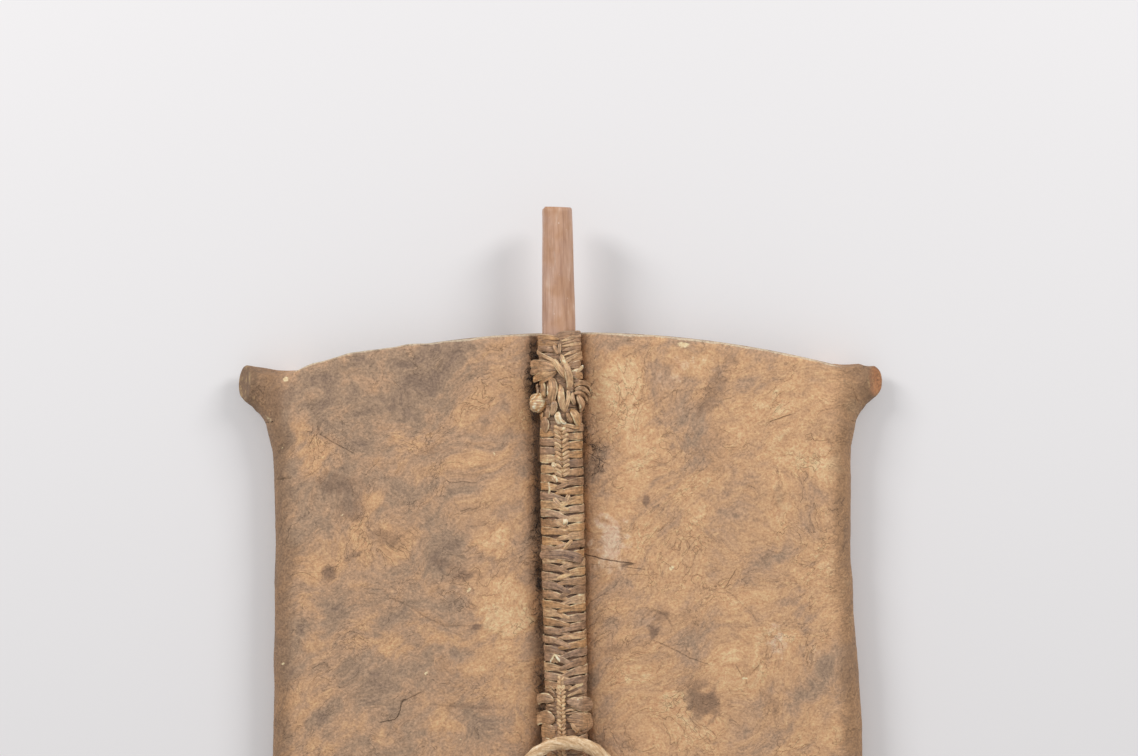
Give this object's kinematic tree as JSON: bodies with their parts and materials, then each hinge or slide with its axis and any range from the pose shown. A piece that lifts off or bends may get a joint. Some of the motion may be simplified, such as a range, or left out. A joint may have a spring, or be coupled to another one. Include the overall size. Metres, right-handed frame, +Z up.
{
  "type": "hide shield",
  "caption": "Long four-cornered raw hide shield lying holder's side up, with rolled sides, drawn-out corner nubs, a whittled stick laced down its middle and an oval hand guard round the grip",
  "frame": {"origin": "on the ground, under the middle of the grip, which is the bottom centre of the whole part's box", "axes": "+X across the shield to the holder's right, +Y along the stick to its top end, +Z up out of the holder's side"},
  "size_m": [0.425, 0.81, 0.0657],
  "materials": {
    "raw_hide": "matt, scraped and stained raw hide",
    "stick_wood": "whittled and hand-polished",
    "rawhide_strip": "twisted strip, worn to a low shine",
    "pale_rawhide": "dry and fibrous"
  },
  "bodies": {
    "root": {"hide": "raw_hide", "stick": "stick_wood", "top_knot": "rawhide_strip", "upper_lacing": "rawhide_strip", "upper_grip_binding": "rawhide_strip", "lower_grip_binding": "rawhide_strip", "lower_lacing": "rawhide_strip", "bottom_knot": "rawhide_strip", "hand_guard": "pale_rawhide", "guard_tie_left": "rawhide_strip", "guard_tie_right": "rawhide_strip"}
  },
  "joints": []
}
